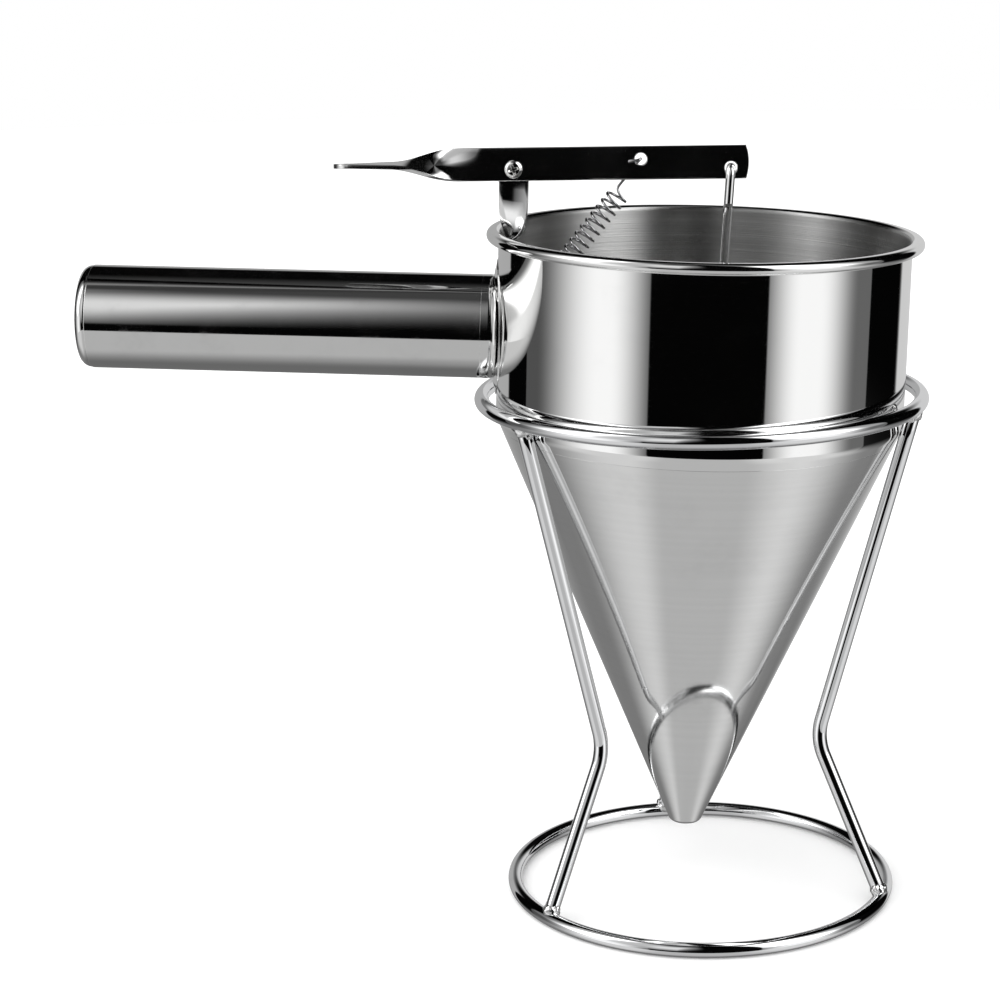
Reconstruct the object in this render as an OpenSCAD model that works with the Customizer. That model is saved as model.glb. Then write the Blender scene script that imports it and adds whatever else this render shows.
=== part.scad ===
// Batter dispenser: a steel funnel with a lever-operated valve, resting in a wire stand.
// Millimetres, Z up. The origin lies on the table under the middle of the stand, and the
// handle points to -X. The funnel is modelled about its own axis, with z = 0 at the edge
// between cylinder and cone, and is then seated in the stand.

/* [Stand] */
// Thickness of the stand's wire
wire_d = 5; // [4:0.1:6]
// Height of the middle of the top ring above the table
stand_h = 175.5; // [168:0.5:185]
// Air between the hopper's wall and the inside of the top ring
ring_gap = 2.75; // [2:0.05:4]
// Radius of the bottom ring, to the middle of its wire
base_r = 65; // [55:0.5:75]
// Radius at which the legs are narrowest
waist_r = 41.5; // [38:0.5:46]
// Height at which the legs are narrowest
waist_z = 58; // [50:0.5:66]
// Radius of the legs' bend, to the middle of the wire
leg_bend_r = 20; // [10:0.5:30]
// How far a leg's top lies inside the middle of the top ring
leg_inset = 0.75; // [0.5:0.05:1]
// Angle of the back leg from +X, in degrees
back_leg_angle = 101; // [96:0.5:106]
// Angle between the two front legs, in degrees
front_legs_angle = 126; // [115:0.5:135]
// Thickness of the weld bead around each leg's ends
weld_bead = 0.9; // [0.5:0.1:1.5]

/* [Hopper] */
// Outer radius of the hopper's cylinder
hopper_r = 68.5; // [64:0.5:74]
// Height of the cylinder, up to the top of its rolled rim
hopper_h = 62.7; // [58:0.1:68]
// Height of the cone, from the shoulder to its tip
cone_h = 145; // [138:0.5:150]
// Outer radius of the cone at its tip
tip_r = 5.2; // [4.6:0.1:6]
// Thickness of the hopper's sheet
sheet_t = 0.8; // [0.6:0.05:1.2]
// Width of the rolled rim's bead
rim_w = 4.8; // [4:0.1:6]
// Height of the rolled rim's bead
rim_h = 3.8; // [3.2:0.1:4]
// Width of the slot under the rolled rim
rim_slot = 0.6; // [0.4:0.1:1]
// Outer radius of the shoulder between cylinder and cone
shoulder_r = 6; // [4:0.5:9]
// Length of the polished band below the shoulder, along the cone
shoulder_band = 2.5; // [1.5:0.1:5]
// Outer radius of the lip around the outlet
lip_r = 2.2; // [1.8:0.1:2.6]
// Angle by which the hopper leans towards +X in the stand, in degrees
lean_angle = 1.8; // [0:0.1:2]
// Clearance between the hopper's shoulder and the legs
seat_gap = 0.05; // [0.05:0.05:0.3]

/* [Handle] */
// Outer diameter of the handle's tube
handle_d = 35; // [30:0.5:38]
// Thickness of the tube's wall
handle_t = 1; // [0.8:0.1:1.5]
// Length of the tube between its two caps
tube_len = 132.8; // [110:0.2:150]
// Height of the handle's axis above the shoulder
handle_z = 29; // [27:0.5:31]
// Length of the far cap's crown
cap_len = 3.7; // [3.6:0.1:5]
// Outer radius of the round edge of a cap
cap_round = 3.2; // [2:0.1:3.4]
// How much smaller the caps' radius is than the tube's
cap_step = 0.25; // [0.1:0.05:0.4]
// Length of a cap's skirt inside the tube
skirt_len = 8; // [5:0.5:12]
// Height of the saddle plate between handle and hopper
saddle_h = 46; // [42:0.5:48]
// Width of the saddle plate
saddle_w = 30; // [26:0.5:33]
// Thickness of the saddle plate
saddle_t = 1.2; // [0.8:0.1:2]
// Length of the front cap's crown beyond the saddle plate
front_cap_len = 3.5; // [3.4:0.1:5]

/* [Lever] */
// Height of the lever's strip
lever_w = 11; // [10:0.1:12]
// Thickness of the lever's strip
lever_t = 1.5; // [1.2:0.1:2]
// Height of the lever's pivot above the shoulder
pivot_z = 82.3; // [80:0.1:88]
// How far the pivot lies below the middle of the strip
pivot_drop = 1.6; // [0:0.1:2]
// Angle of the lever at rest, to the funnel's own level, in degrees
lever_angle = 1.9; // [0:0.1:3]
// Distance from the pivot to the end of the thumb tab
thumb_reach = 60; // [54:0.5:70]
// Distance from the pivot to the near end of the strip's twist
twist_from = 10; // [8:0.5:26]
// Length of the strip's twist
twist_len = 31; // [16:0.5:34]
// Distance from the pivot to the spring's hole
spring_at = 42; // [38:0.5:48]
// Distance from the pivot to the rod's hole
rod_at = 71.6; // [70:0.1:72]
// Distance from the rod's hole to the end of the strip
lever_tail = 5.9; // [5:0.1:9]
// Diameter of the spring's and the rod's holes
hook_hole_d = 4; // [3.8:0.1:4.5]
// How far the far end of the strip bulges
end_bulge = 0.9; // [0.5:0.1:2]

/* [Post and pivot] */
// Width of the post's strip
post_w = 10; // [8:0.5:11]
// Thickness of the post's strip
post_t = 1.5; // [1.2:0.1:1.8]
// How far the post's top lies inside the hopper's wall, to its middle
post_in = 4; // [3.5:0.1:5]
// Height of the post above the pivot
post_above = 5; // [4:0.1:5.2]
// Height above the shoulder at which the post's twist ends
post_twist_z = 57.5; // [56:0.5:59]
// Height above the shoulder at which the post's foot ends
post_foot_z = 30; // [24:0.5:36]
// Length of the tab at the post's foot
foot_tab = 6; // [5:0.1:8]
// Diameter of the pivot screw's shank
screw_d = 3; // [2.5:0.1:3.5]
// Diameter of the pivot screw's head
head_d = 6; // [5:0.1:7]
// Height of the pivot screw's head
head_h = 1.8; // [1.4:0.1:2.2]
// Radial clearance of the lever on the screw
pivot_gap = 0.05; // [0.02:0.01:0.1]
// Thickness of the washer between lever and post
washer_t = 0.5; // [0.3:0.05:1]
// Diameter of the washer
washer_d = 7; // [6:0.1:8]
// Width of the nut across its flats
nut_w = 5.5; // [5:0.1:6]
// Height of the nut
nut_h = 2.4; // [2:0.1:3]

/* [Rod and valve] */
// Diameter of the valve rod
rod_d = 3; // [2.5:0.1:3.2]
// Clearance between the rod's hook and the faces of the lever
hook_gap = 0.3; // [0.2:0.05:0.5]
// Length of the hook's short leg below the lever's hole
hook_len = 13; // [10:0.5:18]
// Largest radius of the valve plug
plug_r = 6; // [5.6:0.1:7]
// Height of the plug's straight part
plug_band = 6; // [4:0.5:8]
// Height of the plug's chamfer
plug_chamfer = 3; // [1:0.1:3.5]
// Clearance between plug and cone when the valve is shut
valve_gap = 0.3; // [0.2:0.05:0.4]

/* [Spring] */
// Outer diameter of the spring's coils
coil_d = 7.4; // [6:0.1:8.8]
// Thickness of the spring's wire
spring_wire = 0.9; // [0.6:0.05:1.1]
// Distance between two turns
coil_pitch = 2.9; // [2.4:0.1:4]
// Distance from the coil's axis to the line between the spring's two ends
coil_off = 1.8; // [0:0.1:2.5]
// Distance from the lever's hole to the first turn, along the spring
coil_from = 14.5; // [14:0.5:18]
// Distance from the foot's hole to the last turn, along the spring
coil_to = 9.5; // [9:0.5:12]

/* [Hidden] */
$fn = 64;
over = 1;                                  // how far a cutting tool reaches past a face

// Stand
wire_r = wire_d / 2;
top_r = hopper_r + ring_gap + wire_r;
leg_top_r = top_r - leg_inset;
upper_slope = atan((leg_top_r - waist_r) / (stand_h - waist_z));
lower_slope = atan((base_r - waist_r) / (waist_z - wire_r));
leg_turn = upper_slope + lower_slope;
leg_cut = wire_r / 2;                      // a leg's ends stop this far short of the rings' middle
leg_setback = leg_bend_r * tan(leg_turn / 2);
bend_skin = 0.01;                          // a bend is this much fatter than the straight wire,
bend_in = 0.2;                             // which runs this far into it
bend_mid = leg_bend_r / cos(leg_turn / 2);
bend_mid_at = (lower_slope - upper_slope) / 2;
front_leg_mid = back_leg_angle + 180;

// Hopper
inner_r = hopper_r - sheet_t;
cone_half = atan((hopper_r - tip_r) / cone_h);
shoulder_z = shoulder_r * tan(cone_half / 2);
seam_run = shoulder_z + shoulder_band;
rim_r = rim_h / 2;
rim_in = inner_r + rim_r;                  // middles of the bead's inner and outer round
rim_out = inner_r + rim_w - rim_r;
rim_mid_z = hopper_h - rim_r;
rim_open = acos((rim_out - hopper_r - rim_slot) / rim_r);
lip_z = -cone_h + lip_r;
lip_mid_r = cone_line(lip_z) - lip_r / cos(cone_half);
lip_turn = 110;
// The ring of contact lies on the shoulder, at the slope of the legs.
seat_run = (leg_top_r - hopper_r + shoulder_r) * cos(upper_slope);
seat_z = stand_h - shoulder_z
    - (seat_run - shoulder_r - wire_r - seat_gap) / sin(upper_slope);
seat_x = -(hopper_r - shoulder_r) * sin(lean_angle) * tan(upper_slope) - shoulder_z * sin(lean_angle);

// Handle
handle_r = handle_d / 2;
saddle_out_r = hopper_r + saddle_t;
tube_at = saddle_out_r + front_cap_len;
cap_r = handle_r - cap_step;
cap_t = 1.2;
skirt_r = handle_r - handle_t;
crown_spare = 3;                           // of the front cap, cut off by the saddle's curve
crown_wall = 1;                            // straight part of the front cap before its round edge

// Lever, post and pivot
pivot_x = -(inner_r - post_in);
post_set = 0.55;                           // how far the post stands in front of the funnel's axis
post_front = -(post_t / 2 + post_set);
turn_even = 0.42;                          // share of the post's turn that comes evenly
lever_back = post_front - washer_t;
lever_front = lever_back - lever_t;
lever_mid_y = lever_back - lever_t / 2;
bulge_r = (lever_w * lever_w / 4 + end_bulge * end_bulge) / (2 * end_bulge);
lever_reach = rod_at + lever_tail;
spring_lift = 1.3;                         // of the spring's hole above the strip's middle
rod_drop = 1.8;                            // of the rod's hole below the strip's middle
post_flat = 4.3;                           // from the pivot down to the post's twist
post_twist_top = pivot_z - post_flat;
wall_press = 0.2;                          // the post's outer side is pressed to the wall's curve
post_low_x = -(inner_r - post_t / 2 + wall_press);
tongue_w = 0.7 * post_w;
tongue_up = 1;                             // from the post's end to the tongue
tab_hole_d = 2.4;
tab_hole_in = 3.2;                         // from the wall's inner face to the tab's hole
tab_mid_z = post_foot_z + post_t / 2;
cross_w = 0.9;                             // width and span of the screw's cross recess
cross_span = 3.4;
cross_deep = 0.9;
cross_turn = 20;                           // angle at which the screw has come to rest
screw_past = 0.6;                          // how far the shank reaches past the nut

// Rod: it hangs in the lever's hole and runs down to the middle of the plug.
rod_hole = on_lever(rod_at, pivot_drop - rod_drop);
plug_inset = (sheet_t + valve_gap) / cos(cone_half);
plug_seat_z = (plug_r + plug_inset - hopper_r) / tan(cone_half);
plug_top_z = plug_seat_z + plug_band + plug_chamfer;
plug_past = 0.5;                           // how far the plug reaches below the middle of the lip
rod_tilt = atan(rod_hole[0] / (rod_hole[2] - plug_top_z));
rod_len = (rod_hole[2] - plug_top_z) / cos(rod_tilt);
rod_r = rod_d / 2;
hook_r = lever_t / 2 + hook_gap + rod_r;
rod_sink = 7;                              // depth of the rod's end in the plug

// Spring: from the tab at the post's foot up to the lever.
spring_top = on_lever(spring_at, pivot_drop + spring_lift);
spring_foot = [-(inner_r - tab_hole_in), 0, tab_mid_z];
spring_span = norm(spring_top - spring_foot);
spring_dir = (spring_top - spring_foot) / spring_span;
spring_side = [-spring_dir[2], 0, spring_dir[0]];
coil_r = (coil_d - spring_wire) / 2;
coil_run = spring_span - coil_from - coil_to;
coil_turns = round(coil_run / coil_pitch) + 0.5;
coil_steps = 16;                           // rings of the mesh in one turn

// Outer radius of the cone's sheet at height z, and its inner radius there.
function cone_line(z) = hopper_r + z * tan(cone_half);
function cone_inside(z) = cone_line(z) - sheet_t / cos(cone_half);

// A point of the lever in the funnel's frame: along the strip from the pivot, and above it.
function on_lever(along, above) = [
    pivot_x + along * cos(lever_angle) - above * sin(lever_angle), 0,
    pivot_z + along * sin(lever_angle) + above * cos(lever_angle)];

// Points of a rounded corner at p, from direction a to direction b (both away from p).
function corner(p, a, b, r, steps) = [for (i = [0:steps])
    let (t = i / steps) p + a * r * (1 - t) * (1 - t) + b * r * t * t];

function unit(v) = v / norm(v);

// Cross-section directions carried along a path without twist.
function carried(run, first) = [for (i = 0, n = first; i < len(run);
    i = i + 1, n = unit(n - run[min(i, len(run) - 1)] * (n * run[min(i, len(run) - 1)]))) n];

// Faces of a body with last + 1 sections of the same number of corners, one after another.
function strip_faces(last, sides) = concat(
    [for (i = [0:last - 1]) for (k = [0:sides - 1])
        let (j = (k + 1) % sides)
        each [[i * sides + k, (i + 1) * sides + j, i * sides + j],
            [i * sides + k, (i + 1) * sides + k, (i + 1) * sides + j]]],
    [[for (k = [0:sides - 1]) k]], [[for (k = [sides - 1:-1:0]) last * sides + k]]);

// A wire of radius r swept along the points of a path.
module swept_wire(path, r, first, sides = 8) {
    last = len(path) - 1;
    run = [for (i = [0:last]) unit(path[min(i + 1, last)] - path[max(i - 1, 0)])];
    across = carried(run, unit(first - run[0] * (first * run[0])));
    points = [for (i = [0:last]) for (k = [0:sides - 1])
        let (a = 360 * k / sides)
        path[i] + r * (cos(a) * across[i] + sin(a) * cross(run[i], across[i]))];
    polyhedron(points, strip_faces(last, sides));
}

// Part of the quarter turn that is done at part t of a twist: at an even pace, or most of it
// near the end.
function even_turn(t) = t * t * (3 - 2 * t);
function late_turn(t) = t * (turn_even + (1 - turn_even) * pow(t, 3));

// A flat strip along +X. Its width lies along Z for the length before x = 0, turns by a
// quarter up to x = run, and lies along Y for the length after that. In the second half of
// the turn it is moved sideways by shift, in Y and Z.
module twisted_strip(width, thick, before, run, after, shift = [0, 0], late = false, steps = 20) {
    edge = [[-thick, -width], [thick, -width], [thick, width], [-thick, width]] / 2;
    stations = concat([[-before, 0]],
        [for (i = [0:steps]) let (t = i / steps) [run * t, late ? late_turn(t) : even_turn(t)]],
        [[run + after, 1]]);
    points = [for (s = stations) for (e = edge)
        let (a = 90 * s[1], moved = pow(max(0, 2 * s[1] - 1), 2))
        [s[0], e[0] * cos(a) - e[1] * sin(a) + shift[0] * moved,
            e[0] * sin(a) + e[1] * cos(a) + shift[1] * moved]];
    polyhedron(points, strip_faces(len(stations) - 1, 4));
}

// Places its children in the seated funnel.
module seated() {
    translate([seat_x, 0, seat_z]) rotate([0, lean_angle, 0]) children();
}

// Places its children on the lever: x along the strip from the pivot, z across it.
module on_strip() {
    seated() translate([pivot_x, 0, pivot_z]) rotate([0, -lever_angle, 0]) children();
}

module ring(r, z) {
    translate([0, 0, z]) rotate_extrude($fn = 160) translate([r, 0]) circle(d = wire_d, $fn = 32);
}

module top_ring_solid() ring(top_r, stand_h);

module bottom_ring_solid() ring(base_r, wire_r);

// One leg's wire, bent at the waist, standing in the direction at.
module leg_wire(at) {
    upper_len = (stand_h - waist_z) / cos(upper_slope) - leg_setback;
    lower_len = (waist_z - wire_r) / cos(lower_slope) - leg_setback;
    rotate([0, 0, at]) {
        translate([leg_top_r, 0, stand_h]) rotate([0, 180 + upper_slope, 0])
            translate([0, 0, leg_cut]) cylinder(d = wire_d, h = upper_len - leg_cut + bend_in, $fn = 32);
        translate([base_r, 0, wire_r]) rotate([0, -lower_slope, 0])
            translate([0, 0, leg_cut]) cylinder(d = wire_d, h = lower_len - leg_cut + bend_in, $fn = 32);
        translate([waist_r + bend_mid * cos(bend_mid_at), 0, waist_z + bend_mid * sin(bend_mid_at)])
            rotate([90, 0, 0]) rotate([0, 0, 180 - upper_slope]) rotate_extrude(angle = leg_turn)
                translate([leg_bend_r, 0]) circle(d = wire_d + 2 * bend_skin, $fn = 32);
    }
}

// A leg is coped to both rings.
module leg(at) {
    difference() {
        leg_wire(at);
        top_ring_solid();
        bottom_ring_solid();
    }
}

leg_angles = [back_leg_angle, front_leg_mid - front_legs_angle / 2,
    front_leg_mid + front_legs_angle / 2];

module stand_top_ring() {
    color("silver") top_ring_solid();
}

module stand_bottom_ring() {
    color("silver") bottom_ring_solid();
}

module stand_leg_back() {
    color("silver") leg(leg_angles[0]);
}

module stand_leg_front_left() {
    color("silver") leg(leg_angles[1]);
}

module stand_leg_front_right() {
    color("silver") leg(leg_angles[2]);
}

// A bead of weld metal around each end of each leg.
module stand_welds() {
    bead_r = wire_r + weld_bead;
    color("lightgray") difference() {
        for (at = leg_angles) rotate([0, 0, at]) {
            translate([leg_top_r - wire_r * sin(upper_slope), 0, stand_h - wire_r * cos(upper_slope)])
                sphere(r = bead_r, $fn = 32);
            translate([base_r - wire_r * sin(lower_slope), 0, wire_r + wire_r * cos(lower_slope)])
                sphere(r = bead_r, $fn = 32);
        }
        for (at = leg_angles) leg_wire(at);
        top_ring_solid();
        bottom_ring_solid();
    }
}

// Points of an arc about mid, from angle a to angle b.
function arc(mid, r, a, b, steps) = [for (i = [0:steps])
    let (t = a + (b - a) * i / steps) mid + r * [cos(t), sin(t)]];

// A point on the cone's outer side (deep = 0), or deep inside its sheet, run down the slope.
function on_cone(run, deep = 0) = [hopper_r, 0] - run * [sin(cone_half), cos(cone_half)]
    - deep * [cos(cone_half), -sin(cone_half)];

// The sheet's section runs up from the seam, round the shoulder, up the wall and over into
// the open curl of the rim, and back along its inner side.
module hopper_cylinder() {
    shoulder_mid = [hopper_r - shoulder_r, shoulder_z];
    bead_in = [rim_in, rim_mid_z];
    bead_out = [rim_out, rim_mid_z];
    curl_end = -180 + rim_open;
    color("gainsboro") seated() rotate_extrude($fn = 180) polygon(concat(
        [on_cone(seam_run)],
        arc(shoulder_mid, shoulder_r, -cone_half, 0, 6),
        arc(bead_in, rim_r - sheet_t, 180, 90, 7),
        arc(bead_out, rim_r - sheet_t, 90, curl_end, 16),
        arc(bead_out, rim_r, curl_end, 90, 16),
        arc(bead_in, rim_r, 90, 180, 7),
        arc(shoulder_mid, shoulder_r - sheet_t, 0, -cone_half, 6),
        [on_cone(seam_run, sheet_t)]));
}

// The cone's sheet ends in a lip that is rounded inwards round the outlet.
module hopper_cone() {
    lip_mid = [lip_mid_r, lip_z];
    color("darkgray") seated() rotate_extrude($fn = 180) polygon(concat(
        [on_cone(seam_run, sheet_t), on_cone(seam_run)],
        arc(lip_mid, lip_r, -cone_half, -lip_turn, 8),
        arc(lip_mid, lip_r - sheet_t, -lip_turn, -cone_half, 8)));
}

// Section of a pressed cap: crown upwards from y = 0, skirt downwards.
module cap_section(r, crown, wall, skirt) {
    module crown_shape(inset) {
        round = cap_round - inset;
        square([r - inset - round, crown - inset]);
        square([r - inset, crown - cap_round]);
        translate([r - cap_round, crown - cap_round]) circle(r = round);
    }
    intersection() {
        difference() {
            crown_shape(0);
            crown_shape(wall);
            translate([0, -over]) square([r - wall, over]);
        }
        square([r, crown]);
    }
    translate([skirt_r - wall, -skirt]) square([wall, skirt + wall / 2]);
}

module on_handle(x) {
    translate([-x, 0, handle_z]) rotate([0, -90, 0]) children();
}

module handle_tube() {
    color("silver") seated() on_handle(tube_at) difference() {
        cylinder(r = handle_r, h = tube_len, $fn = 96);
        translate([0, 0, -over]) cylinder(r = handle_r - handle_t, h = tube_len + 2 * over, $fn = 96);
    }
}

module handle_end_cap() {
    color("silver") seated() on_handle(tube_at + tube_len)
        rotate_extrude($fn = 96) cap_section(cap_r, cap_len, cap_t, skirt_len);
}

// The front cap's crown is hollowed and pressed to the curve of the saddle plate.
module handle_front_cap() {
    crown = front_cap_len + crown_spare;
    round_from = front_cap_len - cap_round + crown_wall;
    color("silver") seated() difference() {
        on_handle(tube_at) mirror([0, 0, 1]) rotate_extrude($fn = 96) {
            intersection() {
                union() {
                    square([cap_r - cap_round, crown]);
                    square([cap_r, round_from]);
                    translate([cap_r - cap_round, round_from]) circle(r = cap_round);
                }
                square([cap_r, crown]);
            }
            translate([skirt_r - cap_t, -skirt_len]) square([cap_t, skirt_len + cap_t]);
        }
        translate([0, 0, handle_z - handle_d]) cylinder(r = saddle_out_r, h = 2 * handle_d, $fn = 180);
        difference() {
            on_handle(tube_at + skirt_len + over)
                rotate([180, 0, 0]) cylinder(r = skirt_r - cap_t, h = skirt_len + over + crown, $fn = 96);
            translate([0, 0, handle_z - handle_d])
                cylinder(r = saddle_out_r + cap_t, h = 2 * handle_d, $fn = 180);
        }
    }
}

module handle_saddle() {
    round_r = saddle_w / 2;
    straight = saddle_h / 2 - round_r;
    color("silver") seated() intersection() {
        difference() {
            cylinder(r = saddle_out_r, h = 2 * handle_z, $fn = 180);
            translate([0, 0, -over]) cylinder(r = hopper_r, h = 2 * handle_z + 2 * over, $fn = 180);
        }
        on_handle(0) linear_extrude(2 * hopper_r) {
            translate([-straight, -round_r]) square([2 * straight, saddle_w]);
            for (side = [-1, 1]) translate([side * straight, 0]) circle(r = round_r);
        }
    }
}

// The post stands flat behind the lever at its top, turns by a quarter and lies against
// the hopper's wall below, where a tongue stands out for the spring.
module lever_post() {
    top_y = post_front + post_t / 2;
    top_z = pivot_z + post_above;
    low_z = post_foot_z - tongue_up;
    color("silver") seated() difference() {
        union() {
            intersection() {
                translate([pivot_x, top_y, post_twist_top]) rotate([0, 90, 0])
                    twisted_strip(post_w, post_t, top_z - post_twist_top + over,
                        post_twist_top - post_twist_z, post_twist_z - low_z,
                        [-top_y, post_low_x - pivot_x], late = true);
                translate([pivot_x, hopper_r, 0]) rotate([90, 0, 0]) linear_extrude(2 * hopper_r) {
                    translate([-hopper_r, 0]) square([2 * hopper_r, top_z - post_w / 2]);
                    translate([0, top_z - post_w / 2]) circle(r = post_w / 2);
                }
            }
            translate([post_low_x, -tongue_w / 2, post_foot_z])
                cube([foot_tab - (inner_r + post_low_x), tongue_w, post_t]);
        }
        translate([0, 0, low_z - over]) difference() {
            cylinder(r = hopper_r + post_w, h = hopper_h + over - low_z, $fn = 180);
            translate([0, 0, -over]) cylinder(r = inner_r, h = 2 * hopper_h, $fn = 180);
        }
        translate([pivot_x, 0, pivot_z]) rotate([90, 0, 0])
            cylinder(d = screw_d, h = 4 * post_t, center = true, $fn = 48);
        translate([spring_foot[0], 0, post_foot_z - over])
            cylinder(d = tab_hole_d, h = post_t + 2 * over, $fn = 32);
    }
}

// The lever's strip stands on edge from its far end to the twist, then lies flat.
module lever() {
    flat_from = twist_from + twist_len;
    module through(along, above, d) {
        translate([along, 0, above]) rotate([90, 0, 0])
            cylinder(d = d, h = 4 * (washer_t + lever_t + post_t), center = true, $fn = 48);
    }
    color("#3a3a3c") on_strip() difference() {
        intersection() {
            translate([-twist_from, lever_mid_y, pivot_drop]) rotate([0, 0, 180])
                twisted_strip(lever_w, lever_t, twist_from + lever_reach + over, twist_len,
                    thumb_reach + over - flat_from);
            // Round end of the thumb tab, seen from above.
            translate([0, lever_mid_y, pivot_drop - lever_w]) linear_extrude(2 * lever_w) {
                translate([-thumb_reach + lever_w / 2, -lever_w])
                    square([2 * (thumb_reach + lever_reach), 2 * lever_w]);
                translate([-thumb_reach + lever_w / 2, 0]) circle(r = lever_w / 2);
            }
            // Slightly round end of the valve side, seen from the front.
            translate([0, lever_w, pivot_drop]) rotate([90, 0, 0]) linear_extrude(2 * lever_w) {
                translate([-2 * thumb_reach, -lever_w])
                    square([2 * thumb_reach + lever_reach - bulge_r, 2 * lever_w]);
                translate([lever_reach - bulge_r, 0]) circle(r = bulge_r, $fn = 96);
            }
        }
        through(0, 0, screw_d + 2 * pivot_gap);
        through(spring_at, pivot_drop + spring_lift, hook_hole_d);
        through(rod_at, pivot_drop - rod_drop, hook_hole_d);
    }
}

// Places its children on the pivot's axis, pointing to the front.
module on_pivot(y) {
    seated() translate([pivot_x, y, pivot_z]) rotate([90, 0, 0]) children();
}

// Pan head screw: the head lies on the lever's front, the shank runs through to the nut.
module pivot_screw() {
    shank = lever_front - (post_front + post_t) - nut_h - screw_past;
    dome_r = (head_d * head_d / 4 + head_h * head_h) / (2 * head_h);
    color("whitesmoke") on_pivot(lever_front) difference() {
        union() {
            intersection() {
                cylinder(d = head_d, h = head_h, $fn = 48);
                translate([0, 0, head_h - dome_r]) sphere(r = dome_r, $fn = 64);
            }
            translate([0, 0, shank]) cylinder(d = screw_d, h = over - shank, $fn = 48);
        }
        translate([0, 0, head_h - cross_deep]) for (turn = [0, 90]) rotate([0, 0, turn + cross_turn])
            translate([-cross_span / 2, -cross_w / 2, 0]) cube([cross_span, cross_w, head_h]);
    }
}

module pivot_washer() {
    color("silver") on_pivot(post_front) difference() {
        cylinder(d = washer_d, h = washer_t, $fn = 48);
        translate([0, 0, -over]) cylinder(d = screw_d, h = washer_t + 2 * over, $fn = 48);
    }
}

module pivot_nut() {
    color("silver") on_pivot(post_front + post_t + nut_h) difference() {
        cylinder(d = nut_w / cos(30), h = nut_h, $fn = 6);
        translate([0, 0, -over]) cylinder(d = screw_d, h = nut_h + 2 * over, $fn = 48);
    }
}

// Extension spring: a loop round the tab at the post's foot, the coil, and a hook that goes
// up behind the lever, through its hole and a little way down in front of it.
module return_spring() {
    loop_r = 2.4;
    bend_r = 1.1;
    lead_in = 3;
    hook_in = [-4, 0, -1];
    loop_mid = spring_foot + [loop_r, 0, 0];
    behind = [0, lever_back + spring_wire, 0];
    front = [0, lever_front - spring_wire, 0];
    loop = [for (a = [150:15:390]) loop_mid + loop_r * (cos(a) * [0, 0, 1] - sin(a) * [1, 0, 0])];
    coil = [for (i = [0:coil_turns * coil_steps])
        let (a = 360 * i / coil_steps, s = coil_to + coil_run * i / (coil_turns * coil_steps))
        spring_foot + spring_dir * s - coil_off * spring_side
            + coil_r * (cos(a) * spring_side + sin(a) * [0, 1, 0])];
    up_leg = spring_top + behind;
    rise = spring_top + behind - spring_dir * (coil_from - lead_in);
    path = concat(loop, coil, [rise], corner(up_leg, -spring_dir, [0, -1, 0], bend_r, 5),
        corner(spring_top + front, [0, 1, 0], unit(hook_in), bend_r, 5),
        [spring_top + front + hook_in]);
    color("dimgray") seated() swept_wire(path, spring_wire / 2, [0, 1, 0]);
}

// Places its children on the rod: z = 0 at the lever's hole, and down the rod is -Z.
module on_rod() {
    seated() translate(rod_hole) rotate([0, rod_tilt, 0]) children();
}

module valve_rod() {
    color("silver") on_rod() {
        translate([0, lever_mid_y + hook_r, -rod_len - rod_sink])
            cylinder(r = rod_r, h = rod_len + rod_sink - hook_r, $fn = 48);
        translate([0, lever_mid_y, -hook_r]) rotate([90, 0, 90])
            rotate_extrude(angle = 180) translate([hook_r, 0]) circle(r = rod_r, $fn = 48);
        translate([0, lever_mid_y - hook_r, -hook_len])
            cylinder(r = rod_r, h = hook_len - hook_r, $fn = 48);
    }
}

// The plug's seat has the cone's own slope, moved inwards by the valve's clearance.
module valve_plug() {
    low = lip_z - plug_past;
    color("silver") difference() {
        seated() rotate_extrude($fn = 64) polygon([[0, low],
            [cone_line(low) - plug_inset, low], [plug_r, plug_seat_z],
            [plug_r, plug_seat_z + plug_band], [plug_r - plug_chamfer, plug_top_z],
            [0, plug_top_z]]);
        on_rod() translate([0, lever_mid_y + hook_r, -rod_len - rod_sink])
            cylinder(r = rod_r, h = rod_len, $fn = 48);
    }
}

stand_top_ring();
stand_bottom_ring();
stand_leg_back();
stand_leg_front_left();
stand_leg_front_right();
stand_welds();
hopper_cylinder();
hopper_cone();
handle_tube();
handle_end_cap();
handle_front_cap();
handle_saddle();
lever_post();
lever();
pivot_screw();
pivot_washer();
pivot_nut();
return_spring();
valve_rod();
valve_plug();
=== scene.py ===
"""A batter dispenser: a steel funnel with a lever valve, seated in a chromed wire stand.

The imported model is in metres: the origin is on the table under the middle of the stand, +Z
is up and the handle points to -X. Shapes below are worked out in millimetres, many of them
in the funnel's own frame, whose origin is on its axis at the edge between cylinder and
cone. Every piece is a surface of two parameters on a grid.
"""
import math

import bmesh
import bpy
import numpy as np
from mathutils import Matrix, Vector


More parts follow.
